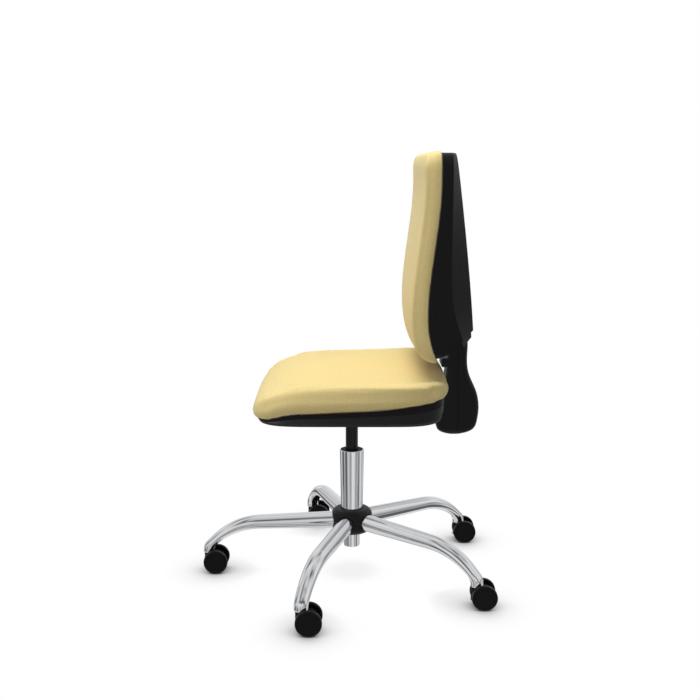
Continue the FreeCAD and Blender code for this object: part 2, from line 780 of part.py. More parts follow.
def cover_section(z, inset):
    """Rounded oblong across the upright cover at a height, made smaller by an inset."""
    rise = (z - cover_foot) / (cover_top - cover_foot)
    calf = 1 - ease((z - cover_bulge_low) / (cover_bulge_high - cover_bulge_low))
    foot = swell(max(1 - (z - cover_foot) / cover_foot_round, 0) * cover_foot_share, cover_foot_power)
    front = cover_front_top - (cover_front_top - cover_front_foot) * (1 - rise) ** 3
    rear = cover_rear_top + cover_rear_bulge * calf - cover_tongue_slope * max(z - cover_tongue, 0)
    half_width = cover_half_width_top + (cover_half_width_foot - cover_half_width_top) * calf
    middle = (front + rear) / 2
    half_depth = (rear - front) / 2 * foot - inset
    half_width = half_width * (cover_sole_share + (1 - cover_sole_share) * foot) - inset
    corner = min(cover_corner, half_depth * cover_corner_share)
    dip = corner * (1 - math.sqrt(0.5))
    near = middle - half_depth
    deep = middle + half_depth
    w = half_width
    c = corner
    return outline(
        lambda x, y: Vector(x, y, z), (-w + c, near), (w - c, near), (w - dip, near + dip, w, near + c),
        (w, deep - c), (w - dip, deep - dip, w - c, deep), (-w + c, deep),
        (-w + dip, deep - dip, -w, deep - c), (-w, near + c), (-w + dip, near + dip, -w + c, near))


def cover_form(inset):
    """The upright cover as a solid boot shape, made smaller by an inset."""
    low = cover_foot + inset
    heel = cover_foot + cover_foot_round - low
    calf = cover_bulge_high - cover_bulge_low
    neck = cover_top - cover_bulge_high
    stations = [low + heel * share for share in (0, 0.12, 0.4, 1)]
    stations += [cover_bulge_low + calf * share for share in (0, 1 / 3, 2 / 3, 1)]
    stations += [cover_bulge_high + neck * share for share in (1 / 3, 2 / 3, 1)]
    return loft([cover_section(z, inset) for z in stations])


def make_upright_cover():
    outer = cover_form(0)
    room = Vector(bar_width / 2 + cover_gap, bar_thickness / 2 + cover_gap, 0)
    middle = Vector(0, bar_middle, 0)
    upright = block(middle - room, middle + room + z_axis * far)
    bosses = Part.makeCompound([rod(cover_boss_radius, Vector(0, 0, z), Vector(0, far, z))
                                for z in (cover_boss_low, cover_boss_high)])
    inner = cover_form(cover_wall)
    knuckle = block(Vector(-knuckle_half_width, knuckle_front, knuckle_low),
                    Vector(knuckle_half_width, bar_front_face, knuckle_high))
    knuckle = knuckle.makeFillet(knuckle_round, knuckle.Edges)
    shell = outer.fuse(knuckle).cut(inner).fuse(outer.common(bosses))
    slot_half = Vector(bar_width / 2 + cover_gap, 0, eye_radius)
    slot = block(Vector(0, 0, pivot_height) - slot_half, Vector(0, bar_middle, pivot_height) + slot_half)
    shell = shell.cut(upright).cut(slot)
    rear = block(Vector(-far, cover_split, -far), Vector(far, far, far))
    nodes["upright_cover_rear"] = one_solid(shell.common(rear))
    nodes["upright_cover_front"] = one_solid(shell.cut(rear))


# Seat
def seam_z(y):
    """Height of the seam between the seat cushion and its shell."""
    lift = max((y - seam_lift_start) / (seat_rear - seam_lift_start), 0)
    dip = ease((-y - seam_dip_start) / (seam_dip_end - seam_dip_start))
    return seam_height + seam_slope * y + seam_rear_lift * lift ** 2 - seam_front_dip * dip


def seat_share(y, inset):
    """Place along the seat: -1 at its front end, 1 at its rear end."""
    middle = (seat_rear - seat_front) / 2
    return (y - middle) / ((seat_rear + seat_front) / 2 - inset)


def seat_station(share, inset):
    middle = (seat_rear - seat_front) / 2
    return middle + share * ((seat_rear + seat_front) / 2 - inset)


def pad_section(place, half_width, tuck, shoulder, edge, crown, skirt):
    """Section of a cushion: flat base with a skirt along it, sides that bulge out from the seam, crowned top."""
    seam = half_width - tuck
    flat = seam - skirt_width
    top = half_width - shoulder
    return outline(
        place, (-seam, -skirt), (-flat, 0), (flat, 0), (seam, -skirt), (half_width, edge * bulge_share, top, edge),
        (0, crown, -top, edge), (-half_width, edge * bulge_share, -seam, -skirt))


def make_seat_cushion():
    sections = []
    for share in (-0.992, -0.95, -0.87, -0.77, -0.64, -0.4, 0, 0.4, 0.68, 0.86, 0.95, 0.99):
        y = seat_station(share, 0)
        seam = seam_z(y)
        fall = swell(share, seat_front_power if share < 0 else seat_rear_power)
        crown = (seat_top - seam) * fall
        half_width = seat_half_width * swell(share, seat_plan_power)
        sections.append(pad_section(
            lambda x, v, y=y, seam=seam: Vector(x, y, seam + v), half_width, seat_tuck * fall,
            seat_shoulder * fall, crown * seat_edge_share, crown, skirt_drop * fall))
    core = rounded_plate(
        seat_half_width - board_inset - core_inset, board_front_edge() + core_inset,
        board_rear_edge() - core_inset, board_corner, board_top + cloth_gap, (board_top + seat_top) / 2)
    nodes["seat_cushion"] = one_solid(loft(sections).fuse(core))


def board_front_edge():
    return -seat_front + board_front_inset


def board_rear_edge():
    return seat_rear - board_rear_inset


def arm_holes():
    return [Vector(x, y, 0) for x in (-arm_hole_offset, arm_hole_offset)
            for y in (-arm_hole_spacing / 2, arm_hole_spacing / 2)]


def make_seat_board():
    board = rounded_plate(seat_half_width - board_inset, board_front_edge(), board_rear_edge(), board_corner,
                          board_foot, board_top)
    for place in arm_holes():
        board = board.cut(rod(arm_hole_radius, place, place + z_axis * far))
    for place in seat_bolt_places():
        tip = place + z_axis * (board_thickness - bolt_end_cover + seat_fit)
        board = board.cut(rod(bolt_radius + seat_fit, place - z_axis, tip))
    nodes["seat_board"] = one_solid(board)


def shell_form(inset):
    """The seat shell as a solid dish, made smaller by an inset and then open above."""
    sections = []
    ends = shell_end_inset + inset
    for share in (-0.985, -0.95, -0.88, -0.78, -0.64, -0.4, 0, 0.4, 0.7, 0.86, 0.95, 0.985):
        y = seat_station(share, ends)
        rim = seam_z(y) - shell_rim_gap
        depth = (rim - shell_floor) * swell(share, shell_power) - inset
        wide = (seat_half_width - seat_tuck) * swell(seat_share(y, shell_end_inset), seat_plan_power) - inset
        top = rim + 8 * inset
        crease = rim - depth * shell_crease_share
        low = rim - depth
        half = [(wide - shell_rim_inset, top), (wide, crease),
                (wide - shell_low_inset, low + shell_low_rise),
                (wide - shell_low_inset - shell_low_round, low)]
        points = half + [(-x, z) for x, z in reversed(half)]
        sections.append(outline(lambda x, z, y=y: Vector(x, y, z), *points))
    return loft(sections)


def make_seat_shell():
    shell = shell_form(0).cut(shell_form(shell_wall))
    bosses = [rod(shell_boss_radius, Vector(x, y, shell_floor + shell_wall / 2), Vector(x, y, board_foot))
              for x in (-shell_boss_side, shell_boss_side) for y in (-shell_boss_front, shell_boss_rear)]
    shell = shell.fuse(bosses)
    gap = shell_cut_gap
    shell = shell.cut(block(
        Vector(-housing_top_width / 2 - gap, -housing_front - gap, shell_floor - far / 10),
        Vector(housing_top_width / 2 + gap, housing_rear + gap, shell_floor + shell_wall * 2)))
    for place in arm_holes():
        shell = shell.cut(rod(arm_access_radius, place, place + z_axis * (board_foot - 1)))
    nodes["seat_shell"] = one_solid(shell)


# Backrest
def back_seam_y(z):
    """Place of the seam between the back cushion and its shell, furthest forward at the lumbar."""
    above = ease((z - lumbar_height) / lumbar_upper_reach)
    below = max((lumbar_height - z) / lumbar_lower_reach, 0)
    return lumbar_place + lumbar_upper * above + lumbar_lower * below ** 2


def back_stations(inset):
    middle = (back_top + back_foot) / 2
    half = (back_top - back_foot) / 2 - inset
    return [(share, middle + share * half) for share in
            (-0.994, -0.972, -0.93, -0.84, -0.64, -0.38, -0.1, 0.2, 0.5, 0.74, 0.9, 0.95, 0.978, 0.994)]


def rounded_end(distance, radius):
    """1 inside a cushion, falling to 0 round its end."""
    return math.sqrt(1 - max(1 - distance / radius, 0) ** 2)


def make_back_cushion():
    sections = []
    for share, z in back_stations(0):
        seam = back_seam_y(z) - cloth_gap
        fall = rounded_end(back_top - z, back_top_round) * rounded_end(z - back_foot, back_foot_round)
        sections.append(pad_section(
            lambda x, v, z=z, seam=seam: Vector(x, seam - v, z), back_half_width * swell(share, back_power),
            back_tuck * fall, back_shoulder * fall, back_thickness * fall,
            (back_thickness + back_crown) * fall, 0))
    nodes["back_cushion"] = loft(sections)


def back_board_form(front, rear):
    """The moulded board, with its front and rear faces moved by the given amounts."""
    sections = []
    for share, z in back_stations(back_board_inset):
        seam = back_seam_y(z)
        wide = (back_half_width - back_board_inset) * swell(share, back_power)
        low = seam - front
        high = seam + back_board_thickness + rear
        sections.append(outline(lambda x, y, z=z: Vector(x, y, z), (-wide, low), (wide, low), (wide, high),
                                (-wide, high)))
    return loft(sections)


def board_rear_y(z):
    return back_seam_y(z) + back_board_thickness


def ear_rear_y():
    return board_rear_y(slide_low + slide_height) + ear_thickness


def ear_bolt_places():
    return [Vector(x, ear_rear_y(), z) for x in (-ear_bolt_side, ear_bolt_side)
            for z in (slide_low + ear_bolt_inset, slide_low + slide_height - ear_bolt_inset)]


def make_back_board():
    board = back_board_form(0, 0)
    bolts = []
    for place in ear_bolt_places():
        head_end = place + y_axis * bolt_head_height
        tip = Vector(place.x, back_seam_y(place.z) + bolt_end_cover, place.z)
        board = board.cut(rod(bolt_radius + seat_fit, tip - y_axis * seat_fit, place))
        bolts.append(one_solid(rod(bolt_radius, tip, place).fuse(rod(bolt_head_radius, place, head_end))))
    nodes["back_board"] = one_solid(board)
    nodes["back_bolts"] = Part.makeCompound(bolts)


def back_shell_rear_y(z):
    rise = min(max((z - back_shell_foot_height) / (back_top - back_shell_foot_height), 0), 1)
    return back_shell_foot_place - (back_shell_foot_place - back_shell_top_place) * rise ** back_shell_curve


def back_shell_form(inset):
    """The back shell as a solid wedge, made smaller by an inset and then open at the front."""
    sections = []
    for share, z in back_stations(back_shell_top_inset + inset):
        rim = back_seam_y(z) + back_shell_gap - 8 * inset
        wide = (back_half_width - back_tuck) * swell(share, back_power) - inset
        below = max((back_shell_crease_height - z) / back_shell_crease_reach, 0)
        crease = back_shell_crease_place + back_shell_crease_sweep * below ** 2 - inset
        rear = back_shell_rear_y(z) - inset
        side = wide - back_shell_side_lean
        panel = wide - back_shell_bevel
        shoulder = max(rear - back_shell_bevel_drop, crease + 2)
        sections.append(outline(
            lambda x, y, z=z: Vector(x, y, z), (-wide, rim), (wide, rim), (side, crease), (panel, shoulder),
            (0, max(rear, shoulder + 2), -panel, shoulder), (-side, crease)))
    return loft(sections)


def below_back_shell(lift):
    """Everything under the slanting lower edge, raised by a lift."""
    slope = math.tan(math.radians(back_shell_cut_slope))
    seam = back_seam_y(back_shell_cut_front)
    return drawn_on_x(far, (seam - far, back_shell_cut_front + lift - far * slope),
                      (seam + far, back_shell_cut_front + lift + far * slope), (seam + far, -far * 2),
                      (seam - far, -far * 2))


def make_back_shell():
    lift = back_shell_wall / math.cos(math.radians(back_shell_cut_slope))
    whole = back_shell_form(0).cut(below_back_shell(0))
    lip = whole.common(back_shell_form(back_shell_lip_inset))
    outer = whole.cut(below_back_shell(back_shell_lip)).fuse(lip)
    lip_room = back_shell_form(back_shell_lip_inset + back_shell_wall).cut(below_back_shell(lift))
    inner = back_shell_form(back_shell_wall).cut(below_back_shell(back_shell_lip + lift)).fuse(lip_room)
    bosses = [rod(back_boss_radius, Vector(x, 0, z), Vector(x, far, z))
              for x in (-back_boss_side, back_boss_side) for z in (back_boss_low, back_boss_high)]
    bosses = outer.common(Part.makeCompound(bosses)).cut(back_board_form(far / 10, seat_fit))
    shell = outer.cut(inner).fuse(bosses)
    side = cover_half_width_top + tongue_gap
    mouth = block(Vector(-side, cover_front_top - tongue_gap, 0), Vector(side, cover_rear_top, cover_top))
    nodes["back_shell"] = one_solid(shell.cut(mouth))


def make_back_slide():
    front = board_rear_y(slide_low) - far / 20
    rear = bar_rear_face + slide_rear_wall
    turn = slide_rear_wall
    dip = turn * (1 - math.sqrt(0.5))
    w = slide_half_width
    ear = ear_rear_y()
    body = drawn_up(
        slide_low, slide_low + slide_height, (-ear_half_width, front), (ear_half_width, front),
        (ear_half_width, ear), (w, ear), (w, rear - turn), (w - dip, rear - dip, w - turn, rear),
        (-w + turn, rear), (-w + dip, rear - dip, -w, rear - turn), (-w, ear), (-ear_half_width, ear))
    room = Vector(bar_width / 2 + slide_fit, bar_thickness / 2 + slide_fit, far)
    middle = Vector(0, bar_middle, 0)
    body = body.cut(block(middle - room, middle + room)).cut(back_board_form(far / 10, seat_fit))
    for place in ear_bolt_places():
        body = body.cut(rod(bolt_radius + seat_fit, place - y_axis * far / 10, place))
    nodes["back_slide"] = one_solid(body)


make_castors()
make_legs()
make_hub()
make_column()
make_gas_spring()
make_mechanism()
make_levers()
make_back_bar()
make_upright_cover()
make_seat_cushion()
make_seat_board()
make_seat_shell()
make_back_cushion()
make_back_board()
make_back_shell()
make_back_slide()

os.makedirs("parts", exist_ok=True)
for name, shape in nodes.items():
    shape.exportStep("parts/" + name + ".step")
print(len(nodes), "nodes written")
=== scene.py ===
# %% [markdown]
# # Dressing an office chair
# The CAD frame holds every rigid piece of the chair: castors, tube legs, column, mechanism, shells and boards.
# Blender adds what CAD leaves out: foam under cloth, a smooth skin on the legs, the finish of each material,
# small screws and studio light. The frame is loaded first.

import json
import math

import bmesh
import bpy
import numpy as np
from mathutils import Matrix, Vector


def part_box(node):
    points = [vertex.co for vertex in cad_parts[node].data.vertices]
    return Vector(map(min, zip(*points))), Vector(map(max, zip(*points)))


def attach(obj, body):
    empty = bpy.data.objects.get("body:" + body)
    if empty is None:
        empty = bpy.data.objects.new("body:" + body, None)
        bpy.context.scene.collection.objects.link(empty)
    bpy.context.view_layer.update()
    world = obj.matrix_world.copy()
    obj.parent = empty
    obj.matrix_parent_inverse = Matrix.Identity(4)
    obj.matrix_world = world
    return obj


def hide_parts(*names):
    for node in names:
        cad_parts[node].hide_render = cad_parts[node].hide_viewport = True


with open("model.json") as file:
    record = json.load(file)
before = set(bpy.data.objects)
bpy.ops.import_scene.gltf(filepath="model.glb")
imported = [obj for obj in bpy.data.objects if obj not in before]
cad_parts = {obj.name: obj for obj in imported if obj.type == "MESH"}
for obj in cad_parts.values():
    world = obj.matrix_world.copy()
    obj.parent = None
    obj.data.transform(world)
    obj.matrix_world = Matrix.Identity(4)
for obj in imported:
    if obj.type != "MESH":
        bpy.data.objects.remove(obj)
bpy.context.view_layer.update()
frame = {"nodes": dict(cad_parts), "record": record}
scene = bpy.context.scene
mm = 0.001


# %% New objects
def add_object(name, data):
    """New object in the scene."""
    made = bpy.data.objects.new(name, data)
    scene.collection.objects.link(made)
    return made


# %% [markdown]
# ## Camera
# The photograph looks at the sitter's left side from a little above seat height, with the lens level across.
# The place, the tilt and the lens were worked out from the castors' contact with the floor, the column and the
# vanishing lines, so they are written here as plain values.

# %% Camera
camera_place = Vector((2.1769, 0.0, 0.9245))
camera_tilt = 0.1831            # radians below level
camera_turn = -0.0019           # radians off the -X direction
focal_pixels = 990.69
picture_pixels = 700
sensor_width = 36.0             # millimetres

camera_data = bpy.data.cameras.new("photo_camera")
camera_data.sensor_width = sensor_width
camera_data.lens = focal_pixels / picture_pixels * sensor_width
camera = add_object("photo_camera", camera_data)
sight = Vector((-math.cos(camera_turn) * math.cos(camera_tilt),
                math.sin(camera_turn) * math.cos(camera_tilt),
                -math.sin(camera_tilt)))
camera.location = camera_place
camera.rotation_euler = sight.to_track_quat("-Z", "Y").to_euler()
scene.camera = camera
print("lens", round(camera_data.lens, 2), "mm")

# %% [markdown]
# ## Helpers for node trees
# Colours are written as the sRGB hex values that one would pick from a picture, and shaders want linear numbers.
# One function does that sum. Another adds a node with its settings and links in one call, for materials, the
# world and Geometry Nodes alike.


# %% Node helpers
def linear(hex_colour):
    """sRGB hex to linear red, green, blue and alpha."""
    parts = [int(hex_colour[i:i + 2], 16) / 255 for i in (1, 3, 5)]
    return [p / 12.92 if p <= 0.04045 else ((p + 0.055) / 1.055) ** 2.4 for p in parts] + [1.0]


def feed(tree, node, inputs):
    """Sets a node's inputs, by name or number, to a value or to the output that feeds them."""
    for name, value in inputs.items():
        if isinstance(value, bpy.types.NodeSocket):
            tree.links.new(value, node.inputs[name])
        else:
            node.inputs[name].default_value = value


def add_node(tree, kind, inputs=None, **settings):
    """Adds a node with its settings and inputs."""
    node = tree.nodes.new(kind)
    for name, value in settings.items():
        setattr(node, name, value)
    feed(tree, node, inputs or {})
    return node


def seen_directly(tree, rays):
    """1 for rays that come from the camera or through something clear, and 0 for all others."""
    return add_node(tree, "ShaderNodeMath", {0: rays.outputs["Is Camera Ray"],
                                             1: rays.outputs["Is Transmission Ray"]},
                    operation="MAXIMUM").outputs[0]


print("middle grey in linear:", [round(v, 3) for v in linear("#808080")])

# %% [markdown]
# ## Studio
# The chair stands on a white floor that runs into a white background, under soft light from above. The floor is
# white to the camera, and only what comes close to it leaves a soft grey shade, so an occlusion node with a
# short reach draws the contact shadows under the castors. Bright metal needs something to mirror: rays that
# leave a glossy surface meet white walls with softly blurred grey stretches, as in a studio hung with cloth.
# The soft boxes are kept out of those mirror images, where they would only burn out.

# %% Floor
floor_size = 12.0
shade_reach = 105 * mm
shade_steps = ((0.2, "#2c2c2c"), (0.98, "#ffffff"))     # openness to the sky, and the floor's colour there
paper_colour = "#b4b4b4"                                # as the chair sees it, to throw back less light

half = floor_size / 2
floor_mesh = bpy.data.meshes.new("floor")
floor_mesh.from_pydata([(-half, -half, 0), (half, -half, 0), (half, half, 0), (-half, half, 0)], [],
                       [(0, 1, 2, 3)])
floor = add_object("floor", floor_mesh)

paper = bpy.data.materials.new("white_paper")
paper.use_nodes = True
tree = paper.node_tree
tree.nodes.clear()
rays = add_node(tree, "ShaderNodeLightPath")
closeness = add_node(tree, "ShaderNodeAmbientOcclusion", {"Distance": shade_reach}, samples=32)
shade = add_node(tree, "ShaderNodeValToRGB", {"Fac": closeness.outputs["AO"]})
for element, (position, colour) in zip(shade.color_ramp.elements, shade_steps):
    element.position = position
    element.color = linear(colour)
seen = add_node(tree, "ShaderNodeEmission", {"Color": shade.outputs["Color"], "Strength": 1.0})
lit = add_node(tree, "ShaderNodeBsdfDiffuse", {"Color": linear(paper_colour)})
both = add_node(tree, "ShaderNodeMixShader", {0: seen_directly(tree, rays), 1: lit.outputs[0],
                                              2: seen.outputs[0]})
add_node(tree, "ShaderNodeOutputMaterial", {"Surface": both.outputs[0]})
floor_mesh.materials.append(paper)
floor.visible_glossy = False
print("floor", floor_size, "m wide")

# %% World
sky_level = 0.31
wall_patch = 0.5                # size of a light or dark stretch of wall, as a share of the distance to it
wall_dark = (0.34, (0.16, 0.16, 0.16, 1))               # place on the ramp, and colour
wall_grey = (0.44, (0.72, 0.72, 0.73, 1))
wall_bright = (0.62, (1.15, 1.15, 1.15, 1))
white = (1, 1, 1, 1)

world = bpy.data.worlds.new("studio_walls")
scene.world = world
world.use_nodes = True
tree = world.node_tree
tree.nodes.clear()
rays = add_node(tree, "ShaderNodeLightPath")
direction = add_node(tree, "ShaderNodeTexCoord")
patches = add_node(tree, "ShaderNodeTexNoise", {"Vector": direction.outputs["Generated"],
                                                "Scale": 1 / wall_patch, "Detail": 1.0})
walls = add_node(tree, "ShaderNodeValToRGB", {"Fac": patches.outputs[0]})
ramp = walls.color_ramp.elements
ramp[0].position, ramp[0].color = wall_dark
ramp[1].position, ramp[1].color = wall_bright
ramp.new(wall_grey[0]).color = wall_grey[1]
mirrored = add_node(tree, "ShaderNodeBackground", {"Color": walls.outputs["Color"], "Strength": 1.0})
ambient = add_node(tree, "ShaderNodeBackground", {"Color": white, "Strength": sky_level})
backdrop = add_node(tree, "ShaderNodeBackground", {"Color": white, "Strength": 1.0})
unlit = add_node(tree, "ShaderNodeMixShader", {0: rays.outputs["Is Glossy Ray"], 1: ambient.outputs[0],
                                               2: mirrored.outputs[0]})
whole = add_node(tree, "ShaderNodeMixShader", {0: seen_directly(tree, rays), 1: unlit.outputs[0],
                                               2: backdrop.outputs[0]})
add_node(tree, "ShaderNodeOutputWorld", {"Surface": whole.outputs[0]})
scene.view_settings.view_transform = "Standard"
print("world made, ambient", sky_level)


# %% Lamps
def soft_lamp(name, place, target, size, watts):
    """Square soft box that looks at a point."""
    data = bpy.data.lights.new(name, "AREA")
    data.size = size
    data.energy = watts
    lamp = add_object(name, data)
    lamp.location = place
    lamp.rotation_euler = (Vector(target) - Vector(place)).to_track_quat("-Z", "Y").to_euler()
    lamp.visible_glossy = False


seat_middle = (0.0, 0.0, 0.5)
soft_lamp("soft_box_above", (0.3, -0.4, 3.2), seat_middle, size=2.0, watts=72)
soft_lamp("soft_box_front", (-0.3, -3.0, 1.5), seat_middle, size=1.6, watts=11)
soft_lamp("soft_box_side", (2.7, -0.5, 2.2), seat_middle, size=1.6, watts=10)

# %% [markdown]
# ## Finishes
# Each finish starts from the real material and how its surface was made. They all read Object coordinates, which
# are metres in the CAD frame, so every pattern has its true size. Grain that is finer than a pixel of the
# picture is drawn coarser, as noted beside it.


# %% Start of a finish
def new_finish(name):
    """Empty material: its tree, its Principled shader and the Object coordinates."""
    finish = bpy.data.materials.new(name)
    finish.use_nodes = True
    tree = finish.node_tree
    tree.nodes.clear()
    shader = add_node(tree, "ShaderNodeBsdfPrincipled")
    add_node(tree, "ShaderNodeOutputMaterial", {"Surface": shader.outputs[0]})
    place = add_node(tree, "ShaderNodeTexCoord").outputs["Object"]
    return finish, tree, shader, place


def per_metre(size_mm):
    """Texture scale at which one feature of a pattern is about this many millimetres wide."""
    return 1 / (size_mm * mm)


def noise(tree, place, size_mm, detail):
    """Cloudy pattern with features of about this many millimetres."""
    return add_node(tree, "ShaderNodeTexNoise", {"Vector": place, "Scale": per_metre(size_mm),
                                                 "Detail": detail}).outputs[0]


def between(tree, factor, low, high):
    """A number from low to high as a pattern goes from 0 to 1."""
    return add_node(tree, "ShaderNodeMapRange", {"Value": factor, "To Min": low, "To Max": high}).outputs[0]


def blended(tree, factor, low, high):
    """A colour from one to another as a pattern goes from 0 to 1."""
    mix = add_node(tree, "ShaderNodeMix", {"Factor": factor, "A": low, "B": high}, data_type="RGBA")
    return mix.outputs["Result"]


def math_node(tree, operation, first, second):
    return add_node(tree, "ShaderNodeMath", {0: first, 1: second}, operation=operation).outputs[0]


def relief(tree, height, depth_mm, strength):
    """Bump from a pattern whose full height is a size in millimetres."""
    bump = add_node(tree, "ShaderNodeBump", {"Height": height, "Distance": depth_mm * mm, "Strength": strength})
    return bump.outputs[0]


print("a pattern of 2 mm has the scale", per_metre(2))

# %% [markdown]
# ### Chrome on steel tube
# Steel tube, bent, polished and plated. Chromium throws back a little over half of the light, so it is grey
# rather than white, and nearly sharp. Handling leaves faint smears, and the polishing wheel leaves a slight
# ripple.


# %% Chrome
def chrome_plate():
    finish, tree, shader, place = new_finish("chrome_plated_steel")
    smear = noise(tree, place, 45, 4.0)
    ripple = noise(tree, place, 28, 1.0)
    feed(tree, shader, {
        "Base Color": linear("#c9cacc"),
        "Metallic": 1.0,
        "Roughness": between(tree, smear, 0.05, 0.13),
        "Normal": relief(tree, ripple, 0.6, 0.35)})
    return finish


finishes = {"chrome": chrome_plate()}
print("finishes:", list(finishes))

# %% [markdown]
# ### Moulded black plastic
# Polypropylene shells come from a spark-eroded mould, whose fine pits make the black look soft and slightly grey
# where light grazes it. The pits are about 0.3 mm on the real shell and are drawn at 1.6 mm so that they show.
# Two of these pieces are made of halves that meet in a plane, the upright's cover and the hub's. The edges of
# the halves are slightly round, so their finish has a narrow groove in that plane, which catches light along
# one side.

# %% Black plastics
cloud_mm = 60
rough_below, rough_above = 0.06, 0.08           # how far the roughness strays from its middle value
parting_width = 1.6 * mm


def parting_groove(tree, place, surface, axis, plane):
    """Adds a narrow groove to a bump, where a coordinate has a given value."""
    across = add_node(tree, "ShaderNodeSeparateXYZ", {0: place}).outputs[axis]
    away = math_node(tree, "SUBTRACT", across, plane)
    distance = add_node(tree, "ShaderNodeMath", {0: away}, operation="ABSOLUTE").outputs[0]
    edge = add_node(tree, "ShaderNodeMapRange", {"Value": distance, "From Max": parting_width},
                    interpolation_type="SMOOTHSTEP").outputs[0]
    return add_node(tree, "ShaderNodeBump", {"Height": edge, "Distance": parting_width,
                                             "Normal": surface}).outputs[0]


def moulded_plastic(name, dark, pale, rough, gloss, grain_mm, parting=None):
    """Parting names the axis across the plane where two halves meet, and the plane's place on it."""
    finish, tree, shader, place = new_finish(name)
    cloud = noise(tree, place, cloud_mm, 3.0)
    surface = relief(tree, noise(tree, place, grain_mm, 2.0), 0.12, 0.3)
    if parting:
        surface = parting_groove(tree, place, surface, *parting)
    feed(tree, shader, {
        "Base Color": blended(tree, cloud, linear(dark), linear(pale)),
        "Roughness": between(tree, cloud, rough - rough_below, rough + rough_above),
        "Normal": surface,
        "Specular IOR Level": gloss})
    return finish


upright_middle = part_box("upright_cover_rear")[0].y
hub_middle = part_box("hub_cover_top")[0].z
finishes["black_plastic"] = moulded_plastic("moulded_polypropylene", "#0f0f10", "#161617",
                                            rough=0.6, gloss=0.12, grain_mm=1.6)
finishes["castor_nylon"] = moulded_plastic("castor_nylon", "#08080a", "#0d0d0e",
                                           rough=0.36, gloss=0.1, grain_mm=2.4)
upright_plastic = moulded_plastic("upright_polypropylene", "#09090a", "#0e0e0f",
                                  rough=0.5, gloss=0.15, grain_mm=1.6, parting=("Y", upright_middle))
hub_plastic = moulded_plastic("hub_polypropylene", "#09090a", "#0f0f10",
                              rough=0.5, gloss=0.2, grain_mm=1.6, parting=("Z", hub_middle))
print("halves meet at y", round(upright_middle, 4), "and at z", round(hub_middle, 4))

# %% [markdown]
# ### Upholstery cloth
# A crepe weave of wool and polyester in a pale sand yellow. Its twisted threads lie in no clear rows, so small
# cells of uneven size give its pebbled face. A thread is about 0.9 mm wide and the cells are drawn at 2.2 mm.
# Loose fibres catch light at grazing angles, which is what sheen is for.


# %% Cloth
def crepe_cloth():
    finish, tree, shader, place = new_finish("sand_crepe_cloth")
    threads = add_node(tree, "ShaderNodeTexVoronoi", {"Vector": place, "Scale": per_metre(2.2),
                                                      "Randomness": 0.8}).outputs["Distance"]
    fibres = noise(tree, place, 1.1, 3.0)
    fading = noise(tree, place, 120, 3.0)
    # The two sand tones follow the cells of the pattern and turn darker towards their edges, where the bump is
    # lowest: painted shade in the hollows between the pebbles.
    weave_with_painted_shade = blended(tree, between(tree, threads, 1.0, 0.0), linear("#dcc586"), linear("#f0dc9d"))
    lowered = math_node(tree, "SUBTRACT", 1.0, math_node(tree, "ADD", threads, fibres))
    feed(tree, shader, {
        "Base Color": blended(tree, between(tree, fading, 0.0, 0.35), weave_with_painted_shade, linear("#ead48f")),
        "Normal": relief(tree, lowered, 0.45, 0.4),
        "Roughness": 0.9,
        "Specular IOR Level": 0.2,
        "Sheen Weight": 0.15,
        "Sheen Roughness": 0.5})
    return finish


finishes["sand_fabric"] = crepe_cloth()
print("finishes:", list(finishes))

# %% [markdown]
# ### Hidden materials
# The mechanism is pressed steel under satin black powder coat, with zinc-plated pins and bolts. The boards
# inside the cushions are birch plywood, seen only as layered edges, and the tilt bush is rubber.


# %% Powder coat, zinc, plywood and rubber
def powder_coat():
    finish, tree, shader, place = new_finish("black_powder_coat")
    peel = noise(tree, place, 2.5, 1.0)
    feed(tree, shader, {
        "Base Color": linear("#0c0c0d"),
        "Specular IOR Level": 0.2,
        "Roughness": between(tree, peel, 0.28, 0.42),
        "Normal": relief(tree, peel, 0.08, 0.4)})
    return finish


def zinc_plate():
    finish, tree, shader, place = new_finish("zinc_plated_steel")
    spangle = add_node(tree, "ShaderNodeTexVoronoi", {"Vector": place,
                                                      "Scale": per_metre(3.0)}).outputs["Distance"]
    feed(tree, shader, {
        "Base Color": blended(tree, spangle, linear("#a9acb0"), linear("#c4c6c9")),
        "Metallic": 1.0,
        "Roughness": between(tree, spangle, 0.3, 0.45)})
    return finish


def birch_plywood():
    finish, tree, shader, place = new_finish("birch_plywood")
    layers = add_node(tree, "ShaderNodeTexWave", {"Vector": place, "Scale": per_metre(2.2) / math.tau,
                                                  "Distortion": 0.4}, bands_direction="Z")
    grain = noise(tree, place, 9, 5.0)
    both = math_node(tree, "MULTIPLY", layers.outputs["Fac"], grain)
    feed(tree, shader, {
        "Base Color": blended(tree, both, linear("#a77f4f"), linear("#d9bb8c")),
        "Roughness": 0.6})
    return finish


def bush_rubber():
    finish, tree, shader, place = new_finish("black_rubber")
    bloom = noise(tree, place, 6, 3.0)
    feed(tree, shader, {
        "Base Color": blended(tree, bloom, linear("#151515"), linear("#232322")),
        "Roughness": 0.8})
    return finish


finishes["plywood"] = birch_plywood()
finishes["black_steel"] = powder_coat()
finishes["bright_steel"] = zinc_plate()
finishes["rubber"] = bush_rubber()
print("finishes:", list(finishes))

# %% Give the CAD nodes their finishes
halved = {"upright_cover_front": upright_plastic, "upright_cover_rear": upright_plastic,
          "hub_cover_top": hub_plastic, "hub_cover_bottom": hub_plastic}
for entry in frame["record"]["subparts"]:
    mesh = frame["nodes"][entry["node"]].data
    mesh.materials.clear()
    mesh.materials.append(halved.get(entry["node"], finishes[entry["material_slot"]]))

# %% [markdown]
# The dark underside of the seat would lie as a black band along every leg. The photograph's studio lights the
# base from all round, so the pieces above the column are left out of what the chrome mirrors.

